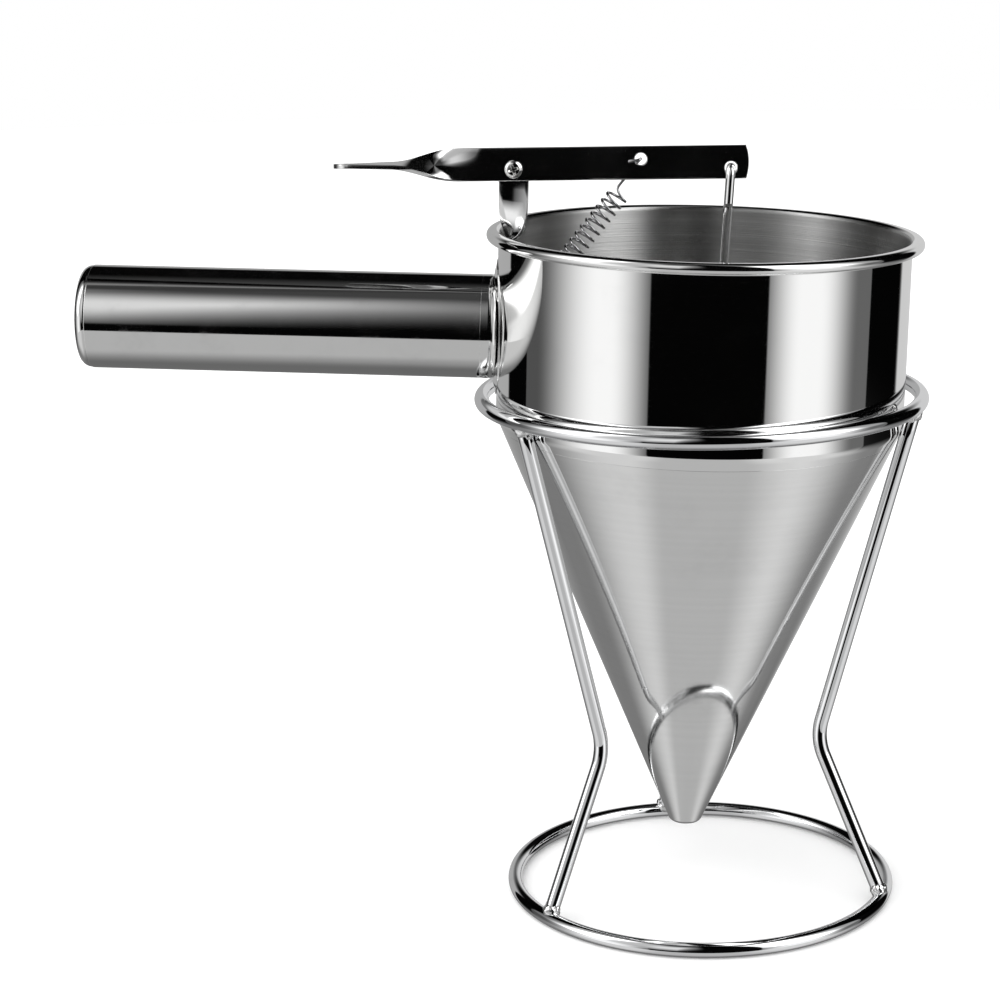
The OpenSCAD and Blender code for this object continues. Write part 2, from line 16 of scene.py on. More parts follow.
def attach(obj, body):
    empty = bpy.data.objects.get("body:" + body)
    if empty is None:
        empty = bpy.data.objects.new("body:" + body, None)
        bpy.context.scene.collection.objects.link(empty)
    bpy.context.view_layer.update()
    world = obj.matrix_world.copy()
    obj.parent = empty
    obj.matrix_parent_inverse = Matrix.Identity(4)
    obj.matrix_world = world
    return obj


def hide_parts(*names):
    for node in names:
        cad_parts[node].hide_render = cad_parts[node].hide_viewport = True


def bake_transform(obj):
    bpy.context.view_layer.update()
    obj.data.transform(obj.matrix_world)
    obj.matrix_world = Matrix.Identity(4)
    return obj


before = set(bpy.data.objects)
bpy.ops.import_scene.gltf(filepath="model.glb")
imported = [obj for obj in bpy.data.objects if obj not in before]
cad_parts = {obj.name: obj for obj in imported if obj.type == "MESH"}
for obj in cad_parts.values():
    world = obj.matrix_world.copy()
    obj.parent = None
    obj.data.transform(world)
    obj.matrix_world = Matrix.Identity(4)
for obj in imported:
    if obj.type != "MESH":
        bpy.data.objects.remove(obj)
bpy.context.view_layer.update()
bpy.context.scene.view_settings.view_transform = "Standard"
MM = 0.001

# ---------------------------------------------------------------- sizes, in millimetres

WIRE_R = 2.5
TOP_RING_R, STAND_H = 73.75, 175.5
BASE_RING_R = 65.0
LEG_TOP_R, WAIST_R, WAIST_Z, LEG_BEND_R = 73.0, 41.5, 58.0, 20.0
LEG_ANGLES = (101.0, 218.0, 344.0)
LEG_CUT = 1.25
WELD_R, RUN_R, RUN_BESIDE, RUN_DOWN = 3.0, 1.35, 2.1, 1.5

HOPPER_R, HOPPER_H, SHEET_T = 68.5, 62.7, 0.8
CONE_H, TIP_R, LIP_R = 145.0, 5.2, 2.2
RIM_W, RIM_R, RIM_SLOT = 4.8, 1.9, 0.6
SHOULDER_R, SHOULDER_BAND = 6.0, 2.5
INNER_R = HOPPER_R - SHEET_T
CONE_HALF = math.atan((HOPPER_R - TIP_R) / CONE_H)
SHOULDER_Z = SHOULDER_R * math.tan(CONE_HALF / 2)
LEAN = math.radians(1.8)
SEAT = np.array([-0.565642, 0.0, 168.1])

HANDLE_R, HANDLE_T, HANDLE_Z = 17.5, 1.0, 29.0
TUBE_AT, TUBE_LEN = 73.2, 132.8
CAP_R, CAP_LEN, CAP_ROUND = 17.25, 3.7, 3.2
FRONT_CAP_LEN, FRONT_ROUND_AT, FRONT_ROUND = 3.5, 70.7, 3.0
CAP_SPIGOT, TUBE_EDGE, CAP_SEAM = 8.0, 0.22, 0.015      # depth of both caps in the tube; its edges
SADDLE_R, SADDLE_T, SADDLE_EDGE, SADDLE_BORDER = 69.7, 1.2, 0.35, 5.0
SADDLE_ROUND, SADDLE_STRAIGHT = 15.0, 8.0

PIVOT = np.array([-63.7, 0.0, 82.3])
LEVER_ANGLE = math.radians(1.9)
LEVER_W, LEVER_T, LEVER_Y, LEVER_UP = 11.0, 1.5, -2.55, 1.6
THUMB_REACH, TWIST_FROM, TWIST_LEN = 60.0, 10.0, 31.0
SPRING_AT, ROD_AT, LEVER_REACH, END_BULGE_R = 42.0, 71.6, 77.5, 17.26
SPRING_HOLE_UP, ROD_HOLE_UP, HOOK_HOLE_R = 1.3, -1.8, 2.0
POST_W, POST_T, POST_Y = 10.0, 1.5, -0.55
POST_TOP, POST_TWIST_TOP, POST_TWIST_LOW, POST_LOW = 87.3, 78.0, 57.5, 29.0
POST_LOW_X = -67.15
STRIP_EDGE, TAB_TURN = 0.2, 1.05       # corner radius; quarter turns at the thumb tab's end

HEAD_R, HEAD_H, HEAD_SEAT = 3.0, 1.8, 3.3
SHANK_R, SHANK_LEN, THREAD_FROM, THREAD_PITCH, THREAD_DEEP = 1.5, 8.4, 4.0, 0.5, 0.16
NUT_R, NUT_BORE_R, NUT_FAR, NUT_NEAR = 2.75, 1.45, -2.6, -0.2

ROD_R, ROD_LEN, HOOK_R, HOOK_LEN = 1.5, 223.117, 2.55, 13.0
ROD_HOLE = np.array([7.86727, 0.0, 84.474])
ROD_LEAN = math.radians(2.08619)
PLUG_TOP_Z, PLUG_SEAT_Z, PLUG_R, PLUG_CHAMFER, PLUG_GAP = -131.45, -140.42, 6.0, 3.0, 0.3

SPRING_WIRE_R, COIL_R, COIL_OFF, COIL_TURNS = 0.45, 3.25, 1.8, 16.5
COIL_BELOW_TOP, COIL_ABOVE_FOOT, LOOP_R = 14.5, 9.5, 2.4
SPRING_FOOT = np.array([-64.5, 0.0, 30.75])
SPRING_TOP = np.array([-21.8192, 0.0, 86.5909])

# ---------------------------------------------------------------- camera

CAMERA_AT = (-7.328 * MM, -833.757 * MM, 344.988 * MM)
CAMERA_YAW = math.radians(-4.185)      # turned from +Y towards +X
CAMERA_DOWN = math.radians(13.845)
CAMERA_ROLL = math.radians(-1.022)
CAMERA_LENS = 90.42                    # millimetres on a sensor 36 wide


def make_camera():
    """The camera's axes: forward from yaw and pitch, then right and up turned by the roll."""
    forward = Vector((math.sin(CAMERA_YAW) * math.cos(CAMERA_DOWN),
                      math.cos(CAMERA_YAW) * math.cos(CAMERA_DOWN), -math.sin(CAMERA_DOWN)))
    level = Vector((math.cos(CAMERA_YAW), -math.sin(CAMERA_YAW), 0))
    upright = level.cross(forward)
    right = math.cos(CAMERA_ROLL) * level + math.sin(CAMERA_ROLL) * upright
    up = -math.sin(CAMERA_ROLL) * level + math.cos(CAMERA_ROLL) * upright
    data = bpy.data.cameras.new("camera")
    data.lens = CAMERA_LENS
    data.sensor_width = 36
    data.clip_start = 0.05
    camera = bpy.data.objects.new("camera", data)
    camera.matrix_world = Matrix((
        (right.x, up.x, -forward.x, CAMERA_AT[0]),
        (right.y, up.y, -forward.y, CAMERA_AT[1]),
        (right.z, up.z, -forward.z, CAMERA_AT[2]),
        (0, 0, 0, 1)))
    bpy.context.scene.collection.objects.link(camera)
    bpy.context.scene.camera = camera


make_camera()

# ---------------------------------------------------------------- node helpers


class Nodes:
    """Short names for making and joining shader nodes in one tree."""

    def __init__(self, tree):
        self.tree = tree

    def new(self, kind, **settings):
        node = self.tree.nodes.new(kind)
        for name, value in settings.items():
            setattr(node, name, value)
        return node

    def put(self, value, socket):
        """Joins an output to a socket, or sets the socket to a plain value."""
        if isinstance(value, bpy.types.NodeSocket):
            self.tree.links.new(value, socket)
        else:
            socket.default_value = value

    def fill(self, node, values, at=range(5), out=0):
        """Puts values into the node's inputs at these places and gives one of its outputs."""
        for value, index in zip(values, at):
            self.put(value, node.inputs[index])
        return node.outputs[out]

    def math(self, operation, *values):
        return self.fill(self.new("ShaderNodeMath", operation=operation), values)

    def smooth(self, value, low, high, to_low=0.0, to_high=1.0, kind="SMOOTHSTEP"):
        """Runs from to_low to to_high while value runs from low to high."""
        if low > high:
            low, high, to_low, to_high = high, low, to_high, to_low
        node = self.new("ShaderNodeMapRange", interpolation_type=kind)
        return self.fill(node, (value, low, high, to_low, to_high))

    def mix(self, factor, a, b):
        return self.fill(self.new("ShaderNodeMix", data_type="FLOAT"), (factor, a, b), (0, 2, 3))

    def mix_colour(self, factor, a, b):
        return self.fill(self.new("ShaderNodeMix", data_type="RGBA"), (factor, a, b), (0, 6, 7), 2)

    def most(self, a, b):
        return self.math("MAXIMUM", a, b)

    def times(self, *values):
        product = values[0]
        for value in values[1:]:
            product = self.math("MULTIPLY", product, value)
        return product

    def split(self, vector):
        node = self.new("ShaderNodeSeparateXYZ")
        self.put(vector, node.inputs[0])
        return node.outputs

    def join(self, x, y, z):
        return self.fill(self.new("ShaderNodeCombineXYZ"), (x, y, z))


# ---------------------------------------------------------------- studio

WHITE = (1.0, 1.0, 1.0, 1.0)
PLAIN_LIGHT = 1.0                      # level of the even light from all round
LAMP_SHARE = 0.42                      # what the lamp adds to it on the table
FLOOR_R = 3.0                          # metres
FLOOR_TONE = (0.75, 0.75, 0.75, 1.0)   # as the pieces see it
TOP_GLOW = 3.0                         # level of the softboxes' tops in a reflection

# A softbox's edges in degrees from the front: where it begins to glow, its near edge, its
# fall and the level at the end of it, its far edge, and the rear wall and its level.
SOFTBOXES = ((-1.0, (22, 52), (28.6, 29.8), (58, 104), 0.08, (113, 114), (134, 137), 0.4),
             (1.0, (26, 55), (34.6, 35.8), (66, 94), 0.13, (103.5, 104.5), (136, 142), 0.62))


def softboxes(n, azimuth):
    """Brightness of the walls by azimuth: two softboxes beside a dark camera stand."""
    fronts, falls = [], []
    for sign, glow, near, fall, fall_level, far, rear, rear_level in SOFTBOXES:
        out = n.times(azimuth, sign)
        fronts.append(n.times(n.smooth(out, *glow), n.smooth(out, *near)))
        falls += [n.most(n.smooth(out, *fall, 1.0, fall_level), n.smooth(out, *rear, 0.0, rear_level)),
                  n.most(n.smooth(out, *far, 1.0, 0.0), n.smooth(out, *rear))]
    return n.times(n.most(*fronts), *falls)


def make_world():
    """White for the eye, plain even light for the set, and a studio for what is polished.

    The studio is a function of direction: softboxes by azimuth, brighter towards the top, up
    to a dark ceiling; a dark camera stand in front with light over its left shoulder; and a
    pale table below that the softboxes brighten at the sides and that falls off at the back.
    """
    world = bpy.data.worlds.new("studio")
    world.use_nodes = True
    bpy.context.scene.world = world
    tree = world.node_tree
    tree.nodes.clear()
    n = Nodes(tree)
    x, y, z = n.split(n.new("ShaderNodeTexCoord").outputs["Generated"])
    degrees = 180 / math.pi
    azimuth = n.times(n.math("ARCTAN2", x, n.times(y, -1.0)), degrees)
    turn = n.math("ABSOLUTE", azimuth)
    elevation = n.times(n.math("ARCSINE", z), degrees)
    # The light over the stand's shoulder rises from a line that climbs towards the right.
    past = n.smooth(azimuth, -13, 7, 0, 20, "LINEAR")
    above = n.math("SUBTRACT", n.math("ADD", elevation, 16.0), n.times(past, 1.75))
    above = n.math("DIVIDE", above, n.math("MULTIPLY_ADD", past, 8.25, 50.0))
    over_stand = n.times(n.smooth(above, 0, 1), n.smooth(elevation, -8.5, -3),
                         n.smooth(azimuth, 4, -3), n.smooth(turn, 60, 40))
    walls = n.mix(over_stand, n.most(softboxes(n, azimuth), 0.0012), 0.76)
    # Overhead, the walls go over into the ceiling: over the softboxes, the stand and the back.
    top = n.most(n.smooth(azimuth, -68, -52, TOP_GLOW, 0.7), n.smooth(azimuth, -20, 20, 0.7, TOP_GLOW))
    over_boxes = n.times(n.smooth(elevation, 2, 14, 1.0, top), n.smooth(elevation, 56, 72, 1.0, 0.08))
    over_front = n.mix(n.smooth(turn, 24, 34), n.smooth(elevation, 38, 71, 1.0, 0.07), over_boxes)
    over_back = n.most(n.smooth(elevation, 14, 27, 1.0, 0.004), n.smooth(elevation, 58, 86, 0, 0.15))
    upper = n.times(walls, n.mix(n.smooth(turn, 90, 130), over_front, over_back))
    # The table falls off towards the back, sooner at the right, and darkens below the piece.
    reach = n.math("SUBTRACT", y, n.smooth(x, 0.2, 0.4, 0.0, 0.12))
    gain = n.most(n.smooth(x, -0.28, -0.5, 1.0, 1.38), n.smooth(x, 0.3, 0.62, 1.0, 1.48))
    table = n.times(n.smooth(reach, -0.25, 0.4, 0.475, 0.15), gain,
                    n.smooth(elevation, -64, -80, 1.0, 0.74))
    edge = n.mix(n.smooth(turn, 60, 100), n.smooth(elevation, -22.4, -21.6), n.smooth(elevation, -34, -12))
    shade = n.mix(edge, table, upper)
    light = n.new("ShaderNodeLightPath")
    polished = n.most(light.outputs["Is Glossy Ray"], light.outputs["Is Transmission Ray"])
    plain = (PLAIN_LIGHT, PLAIN_LIGHT, PLAIN_LIGHT, 1.0)
    seen = n.mix_colour(polished, plain, n.join(shade, shade, shade))
    seen = n.mix_colour(light.outputs["Is Camera Ray"], seen, WHITE)
    background = n.new("ShaderNodeBackground")
    n.put(seen, background.inputs["Color"])
    n.put(background.outputs[0], n.new("ShaderNodeOutputWorld").inputs["Surface"])


def make_floor():
    """A round white table top that keeps the shadow; a polished surface sees the studio."""
    mesh = bpy.data.meshes.new("floor")
    turn = np.linspace(0, 2 * np.pi, 97)[:-1]
    points = FLOOR_R * np.stack([np.cos(turn), np.sin(turn), 0 * turn], 1)
    mesh.from_pydata(points.tolist(), [], [list(range(len(points)))])
    floor = bpy.data.objects.new("floor", mesh)
    bpy.context.scene.collection.objects.link(floor)
    floor.visible_glossy = False
    material = bpy.data.materials.new("floor")
    material.use_nodes = True
    shader = material.node_tree.nodes["Principled BSDF"]
    n = Nodes(material.node_tree)
    light = n.new("ShaderNodeLightPath")
    pale = n.mix_colour(light.outputs["Is Camera Ray"], FLOOR_TONE, WHITE)
    n.put(pale, shader.inputs["Base Color"])
    shader.inputs["Roughness"].default_value = 1.0
    shader.inputs["Specular IOR Level"].default_value = 0.0
    mesh.materials.append(material)


def make_lamp():
    """A very wide soft sun from above, a little from the left and the front."""
    data = bpy.data.lights.new("overhead", "SUN")
    data.angle = math.radians(70)
    direction = Vector((0.35, 0.3, -1.0)).normalized()
    data.energy = LAMP_SHARE * math.pi / abs(direction.z)
    lamp = bpy.data.objects.new("overhead", data)
    lamp.rotation_euler = direction.to_track_quat("-Z", "Y").to_euler()
    lamp.visible_glossy = False
    bpy.context.scene.collection.objects.link(lamp)


make_world()
make_floor()
make_lamp()

# ---------------------------------------------------------------- shared effects


def new_group(name, inputs, outputs):
    """An empty node group with named sockets, and its two end nodes."""
    group = bpy.data.node_groups.new(name, "ShaderNodeTree")
    for label, kind, value in inputs:
        socket = group.interface.new_socket(label, in_out="INPUT", socket_type="NodeSocket" + kind)
        if kind == "Float":
            socket.default_value = value
    for label, kind in outputs:
        group.interface.new_socket(label, in_out="OUTPUT", socket_type="NodeSocket" + kind)
    n = Nodes(group)
    return group, n, n.new("NodeGroupInput").outputs, n.new("NodeGroupOutput").inputs


def noise(n, vector, scale, detail=2.0):
    """Smooth random values about a half, with finer detail added."""
    node = n.new("ShaderNodeTexNoise")
    n.put(vector, node.inputs["Vector"])
    node.inputs["Scale"].default_value = scale
    node.inputs["Detail"].default_value = detail
    return node.outputs["Fac"]


def scaled(n, vector, x, y, z):
    """The vector times x, y and z."""
    return n.fill(n.new("ShaderNodeVectorMath", operation="MULTIPLY"), (vector, n.join(x, y, z)))


def make_brushing():
    """Fine lines round the vector's Z axis: noise drawn out along the turn.

    Gives the height of the lines and a slower streaky value for colour and gloss.
    """
    group, n, given, out = new_group("brushing_round_axis", (
        ("Vector", "Vector", None), ("Lines per metre", "Float", 4200.0),
        ("Streaks per metre", "Float", 900.0), ("Run", "Float", 22.0)), (
        ("Height", "Float"), ("Streak", "Float")))
    run = given["Run"]
    fine = noise(n, scaled(n, given["Vector"], run, run, given["Lines per metre"]), 1.0)
    slow = n.times(run, 0.5)
    wide = noise(n, scaled(n, given["Vector"], slow, slow, given["Streaks per metre"]), 1.0, 3.0)
    n.put(n.math("MULTIPLY_ADD", wide, 0.6, fine), out["Height"])
    n.put(n.smooth(wide, 0.3, 0.7), out["Streak"])
    return group


def make_polish():
    """Hand polishing: a slow waviness of the sheet and faint random hairlines."""
    group, n, given, out = new_group("hand_polish", (
        ("Vector", "Vector", None), ("Waves per metre", "Float", 60.0)), (
        ("Height", "Float"), ("Hairlines", "Float")))
    slow = given["Waves per metre"]
    waves = noise(n, scaled(n, given["Vector"], slow, slow, slow), 1.0, 1.0)
    hair = n.new("ShaderNodeTexVoronoi", feature="DISTANCE_TO_EDGE")
    bent = n.fill(n.new("ShaderNodeVectorMath", operation="MULTIPLY_ADD"), (
        given["Vector"], (90.0, 160.0, 620.0), scaled(n, n.join(waves, waves, waves), 3.0, 2.0, 1.0)))
    n.put(bent, hair.inputs["Vector"])
    hair.inputs["Scale"].default_value = 1.0
    n.put(waves, out["Height"])
    n.put(n.smooth(hair.outputs["Distance"], 0.0, 0.03, 1.0, 0.0), out["Hairlines"])
    return group


def make_handling():
    """Smudges of handling: soft blotches with a finer mottling inside them."""
    group, n, given, out = new_group("handling_marks", (
        ("Vector", "Vector", None), ("Spots per metre", "Float", 45.0)), (("Smudge", "Float"),))
    spots = given["Spots per metre"]
    place = scaled(n, given["Vector"], spots, spots, spots)
    blotch = n.smooth(noise(n, place, 1.0, 3.0), 0.48, 0.72)
    mottle = n.smooth(noise(n, place, 6.0), 0.3, 0.7, 0.4, 1.0)
    n.put(n.times(blotch, mottle), out["Smudge"])
    return group


BRUSHING = make_brushing()
POLISH = make_polish()
HANDLING = make_handling()

# ---------------------------------------------------------------- materials

SEATED = (tuple(SEAT * MM), (0.0, LEAN, 0.0))              # the funnel's own frame
ON_HANDLE = (tuple(SEAT * MM), (0.0, LEAN - math.pi / 2, 0.0))
ON_FLOOR = ((0.0, 0.0, 0.0), (0.0, 0.0, 0.0))


def metal(name, finish, tone, roughness, place=ON_FLOOR, smudge=0.05, spots=45.0, waves=60.0,
          wave_depth=0.0, hairline=0.03, lines=0.0, lines_per_metre=4200.0, streaks_per_metre=900.0,
          run=22.0, streak_gloss=0.0, streak_tone=0.0, spread=0.0, grain=0.0, grain_per_metre=900.0):
    """A bare metal: its tone and gloss varied by brushing, polishing and handling.

    Heights are in metres, and add up in one bump. spread stretches reflections across the
    lines of a brushing that runs round Z.
    """
    material = bpy.data.materials.new(finish)
    material.use_nodes = True
    material["slot"] = name
    tree = material.node_tree
    shader = tree.nodes["Principled BSDF"]
    n = Nodes(tree)
    mapping = n.new("ShaderNodeMapping", vector_type="TEXTURE")
    n.put(n.new("ShaderNodeTexCoord").outputs["Object"], mapping.inputs["Vector"])
    mapping.inputs["Location"].default_value = place[0]
    mapping.inputs["Rotation"].default_value = place[1]
    vector = mapping.outputs[0]

    def use(group, **values):
        node = n.new("ShaderNodeGroup", node_tree=group)
        n.put(vector, node.inputs["Vector"])
        for label, value in values.items():
            n.put(value, node.inputs[label.replace("_", " ")])
        return node.outputs

    marks = use(HANDLING, Spots_per_metre=spots)["Smudge"]
    polishing = use(POLISH, Waves_per_metre=waves)
    gloss = n.math("MULTIPLY_ADD", marks, smudge, roughness)
    gloss = n.math("MULTIPLY_ADD", polishing["Hairlines"], hairline, gloss)
    shade = n.math("MULTIPLY_ADD", marks, -0.04, 1.0)
    height = n.times(polishing["Height"], wave_depth)
    if lines or streak_tone:
        brushed = use(BRUSHING, Lines_per_metre=lines_per_metre, Streaks_per_metre=streaks_per_metre,
                      Run=run)
        height = n.math("MULTIPLY_ADD", brushed["Height"], lines, height)
        gloss = n.math("MULTIPLY_ADD", brushed["Streak"], streak_gloss, gloss)
        shade = n.math("MULTIPLY_ADD", brushed["Streak"], -streak_tone, shade)
    if grain:
        height = n.math("MULTIPLY_ADD", noise(n, vector, grain_per_metre, 3.0), grain, height)
    base = n.new("ShaderNodeVectorMath", operation="SCALE")
    n.put(tone, base.inputs[0])
    n.put(shade, base.inputs["Scale"])
    n.put(base.outputs[0], shader.inputs["Base Color"])
    n.put(gloss, shader.inputs["Roughness"])
    shader.inputs["Metallic"].default_value = 1.0
    if spread:
        shader.inputs["Anisotropic"].default_value = spread
        shader.inputs["Anisotropic Rotation"].default_value = 0.25
        tangent = n.new("ShaderNodeTangent", direction_type="RADIAL", axis="Z")
        n.put(tangent.outputs[0], shader.inputs["Tangent"])
    bump = n.new("ShaderNodeBump")
    bump.inputs["Strength"].default_value = 1.0
    bump.inputs["Distance"].default_value = 1.0
    n.put(height, bump.inputs["Height"])
    n.put(bump.outputs[0], shader.inputs["Normal"])
    return material


CHROME = metal("stand_chrome", "chrome_plating", (0.93, 0.935, 0.945), 0.02, smudge=0.04, spots=70,
               hairline=0.02, grain=2e-6, grain_per_metre=500)
WELD = metal("weld_metal", "run_weld_metal", (0.80, 0.80, 0.80), 0.14, smudge=0.08, grain=6e-5)
MIRROR = metal("polished_steel", "mirror_polish", (0.93, 0.93, 0.925), 0.025, SEATED, smudge=0.035, waves=28,
               wave_depth=1.2e-5, lines=1.5e-7, streaks_per_metre=500, run=8)
SATIN = metal("satin_steel", "satin_polish", (0.90, 0.90, 0.895), 0.05, SEATED, smudge=0.04, waves=26,
              wave_depth=1.5e-5, lines=1.8e-7, lines_per_metre=3600, streaks_per_metre=520, run=9,
              streak_gloss=0.02, streak_tone=0.022)
# Inside of the hopper: brushed round the axis and rough, its reflections drawn out up and down. Its tone,
# far below the outside's, is painted shade that darkens the whole deep hollow.
INSIDE = metal("satin_steel", "hopper_inside_brushed_painted_shade", (0.6, 0.6, 0.595), 0.3, SEATED, smudge=0.02, lines=6e-5,
               lines_per_metre=2600, streaks_per_metre=420, run=10, streak_gloss=0.06, streak_tone=0.14,
               spread=1.0)
TUBE = metal("handle_steel", "handle_polish", (0.88, 0.88, 0.875), 0.045, ON_HANDLE, smudge=0.08, spots=60,
             waves=45, wave_depth=1.6e-5, lines=2.5e-7, lines_per_metre=2400, run=30)
STRIP = metal("lever_steel", "strip_polish", (0.85, 0.85, 0.85), 0.06, SEATED, smudge=0.06, wave_depth=1e-5)
SCREW = metal("fastener_steel", "pressed_steel", (0.88, 0.88, 0.87), 0.05, SEATED, smudge=0.06, grain=2e-6)
# The spring wire's tone, below the other steels', is partly spring steel's own darker tone and partly
# painted shade standing in for the dark reflections on the thin wire.
COIL = metal("spring_steel", "spring_wire_tone_and_painted_shade", (0.55, 0.55, 0.56), 0.06, SEATED, smudge=0.04, grain=1e-6)
ROD = metal("rod_steel", "drawn_rod", (0.90, 0.90, 0.90), 0.05, SEATED, smudge=0.05, grain=2e-6)

# ---------------------------------------------------------------- surfaces


def turned(points, angle):
    """Points turned about Y: x and z mixed by the angle, as the model's own rotations do."""
    x, y, z = np.moveaxis(points, -1, 0)
    return np.stack([x * math.cos(angle) + z * math.sin(angle), y,
                     z * math.cos(angle) - x * math.sin(angle)], -1)


def seated(points):
    """From the funnel's own frame to the stand's: leant over, then set on the seat."""
    return turned(points, LEAN) + SEAT


def on_strip(points):
    """From the lever's strip to the stand's frame, by way of the funnel's."""
    return seated(turned(points, -LEVER_ANGLE) + PIVOT)


def grid_faces(rows, columns, wrap_rows=False, wrap_columns=False, start=0):
    """Quads between the points of a grid, over its ends too where it wraps."""
    i = np.arange(rows if wrap_rows else rows - 1)[:, None]
    j = np.arange(columns if wrap_columns else columns - 1)[None, :]
    i2, j2 = (i + 1) % rows, (j + 1) % columns
    quads = np.stack(np.broadcast_arrays(i * columns + j, i * columns + j2,
                                         i2 * columns + j2, i2 * columns + j), -1)
    return quads + start


def arc(middle, r, start, end, steps):
    """Points at radius r about a middle, while the angle runs from start to end in degrees."""
    a = np.radians(np.linspace(start, end, steps + 1))
    return np.array(middle) + r * np.stack([np.cos(a), np.sin(a)], 1)


def line(start, end, near=0.08):
    """A straight run whose ends are doubled closely, so that its shading stays straight."""
    start, end = np.array(start, float), np.array(end, float)
    step = (end - start) / max(np.linalg.norm(end - start), 1e-9) * near
    return np.stack([start + step, end - step])


def unit(vector):
    """The vector divided by its length."""
    return vector / np.linalg.norm(vector)


def ease(t):
    """From 0 to 1 with level ends: three squares less two cubes."""
    return t * t * (3 - 2 * t)


def outline(*runs):
    """Runs of profile points, one after another."""
    return np.concatenate([np.atleast_2d(np.array(run, float)) for run in runs])


def revolved(profile, segments=192):
    """A closed profile (radius, height) turned about Z: radius times cosine and sine."""
    a = np.linspace(0, 2 * np.pi, segments + 1)[:-1]
    r, z = profile[:, 0, None], profile[:, 1, None]
    return np.stack([r * np.cos(a), r * np.sin(a), np.broadcast_to(z, (len(profile), segments))], -1)


def piece(name, grids, material, body, nodes, wraps=((False, True),), slots=None):
    """Puts grids of points into one mesh, closes its seams and poles, and hands it over.

    wraps says, for each grid, whether its rows and its columns close on themselves. slots
    gives each face of each grid a material, where the piece has more than one.
    """
    vertices, faces, marks, start = [], [], [], 0
    for index, grid in enumerate(grids):
        wrap = wraps[index % len(wraps)]
        quads = grid_faces(grid.shape[0], grid.shape[1], *wrap, start)
        vertices.append(grid.reshape(-1, 3))
        mark = np.zeros(quads.shape[:2], int) if slots is None or slots[index] is None else slots[index]
        keep = mark >= 0
        faces.append(quads[keep])
        marks.append(np.broadcast_to(mark, quads.shape[:2])[keep])
        start += grid.shape[0] * grid.shape[1]
    mesh = bpy.data.meshes.new(name)
    mesh.from_pydata((np.concatenate(vertices) * MM).tolist(), [], np.concatenate(faces).tolist())
    for each in material if isinstance(material, tuple) else (material,):
        mesh.materials.append(each)
    mesh.polygons.foreach_set("material_index", np.concatenate(marks).astype(np.int32))
    work = bmesh.new()
    work.from_mesh(mesh)
    bmesh.ops.remove_doubles(work, verts=work.verts, dist=2e-7)
    bmesh.ops.dissolve_degenerate(work, edges=work.edges, dist=1e-8)
    bmesh.ops.recalc_face_normals(work, faces=work.faces)
    work.to_mesh(mesh)
    work.free()
    mesh.shade_smooth()
    made = bpy.data.objects.new(name, mesh)
    bpy.context.scene.collection.objects.link(made)
    if body:
        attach(made, body)
    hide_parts(*nodes)
    return made


def along(path, closed=False):
    """Unit directions of a path: differences of its neighbouring points."""
    if closed:
        run = np.roll(path, -1, 0) - np.roll(path, 1, 0)
    else:
        run = np.gradient(path, axis=0)
    return run / np.linalg.norm(run, axis=1, keepdims=True)


def wire(path, r, across, sides=24, closed=False, nose=0.3):
    """A round wire: at each point of the path, r times (cosine, sine) of a full turn, in the
    two directions square to the path. Open ends are drawn in to a point over a round nose.
    across is any direction that the path never runs in, one for all or one for each point.
    """
    run = along(path, closed)
    size = np.full(len(path), float(r))
    if not closed:
        a = np.linspace(0, np.pi / 2, 6)[:-1]
        shrink = r - nose + nose * np.sin(a)
        into = (nose - nose * np.cos(a))[:, None]
        head, tail = path[0] + run[0] * into, path[-1] - run[-1] * into[::-1]
        path = np.concatenate([head[:1], head, path[1:-1], tail, tail[-1:]])
        times = [6] + [1] * (len(run) - 2) + [6]
        across = np.repeat(np.broadcast_to(across, run.shape), times, 0)
        run = np.repeat(run, times, 0)
        size = np.concatenate([[0.0], shrink, size[1:-1], shrink[::-1], [0.0]])
    one = across - run * np.sum(across * run, 1, keepdims=True)
    one /= np.linalg.norm(one, axis=1, keepdims=True)
    two = np.cross(run, one)
    a = np.linspace(0, 2 * np.pi, sides + 1)[:-1]
    return path[:, None] + size[:, None, None] * (np.cos(a)[:, None] * one[:, None]
                                                  + np.sin(a)[:, None] * two[:, None])


# ---------------------------------------------------------------- stand


def ring_path(r, z):
    """A circle: r times (cosine, sine) at the height z."""
    a = np.linspace(0, 2 * np.pi, 289)[:-1]
    return np.stack([r * np.cos(a), r * np.sin(a), np.full_like(a, z)], 1)


def leg_path():
    """One leg from ring to ring, as (radius, height): two straight runs and a round bend."""
    top, waist, foot = np.array([(LEG_TOP_R, STAND_H), (WAIST_R, WAIST_Z), (BASE_RING_R, WIRE_R)])
    up, down = unit(top - waist), unit(foot - waist)
    half_turn = (math.pi - math.acos(float(up @ down))) / 2
    inwards, side = unit(up + down), unit(up - down)
    middle = waist + inwards * LEG_BEND_R / math.cos(half_turn)
    a = np.linspace(-half_turn, half_turn, 19)[:, None]
    bend = middle - LEG_BEND_R * (np.cos(a) * inwards + np.sin(a) * side)
    t = np.linspace(0, 1, 13)[:, None]
    upper = (top - up * LEG_CUT) * (1 - t) + bend[0] * t
    lower = bend[-1] * (1 - t) + (foot - down * LEG_CUT) * t
    return np.concatenate([upper[:-1], bend, lower[1:]])


def upright(path, angle):
    """A path (radius, height) stood up in the direction of the angle."""
    a = math.radians(angle)
    return np.stack([path[:, 0] * math.cos(a), path[:, 0] * math.sin(a), path[:, 1]], 1)


def square_to(angle):
    """The level direction square to the angle."""
    a = math.radians(angle)
    return np.array([-math.sin(a), math.cos(a), 0.0])


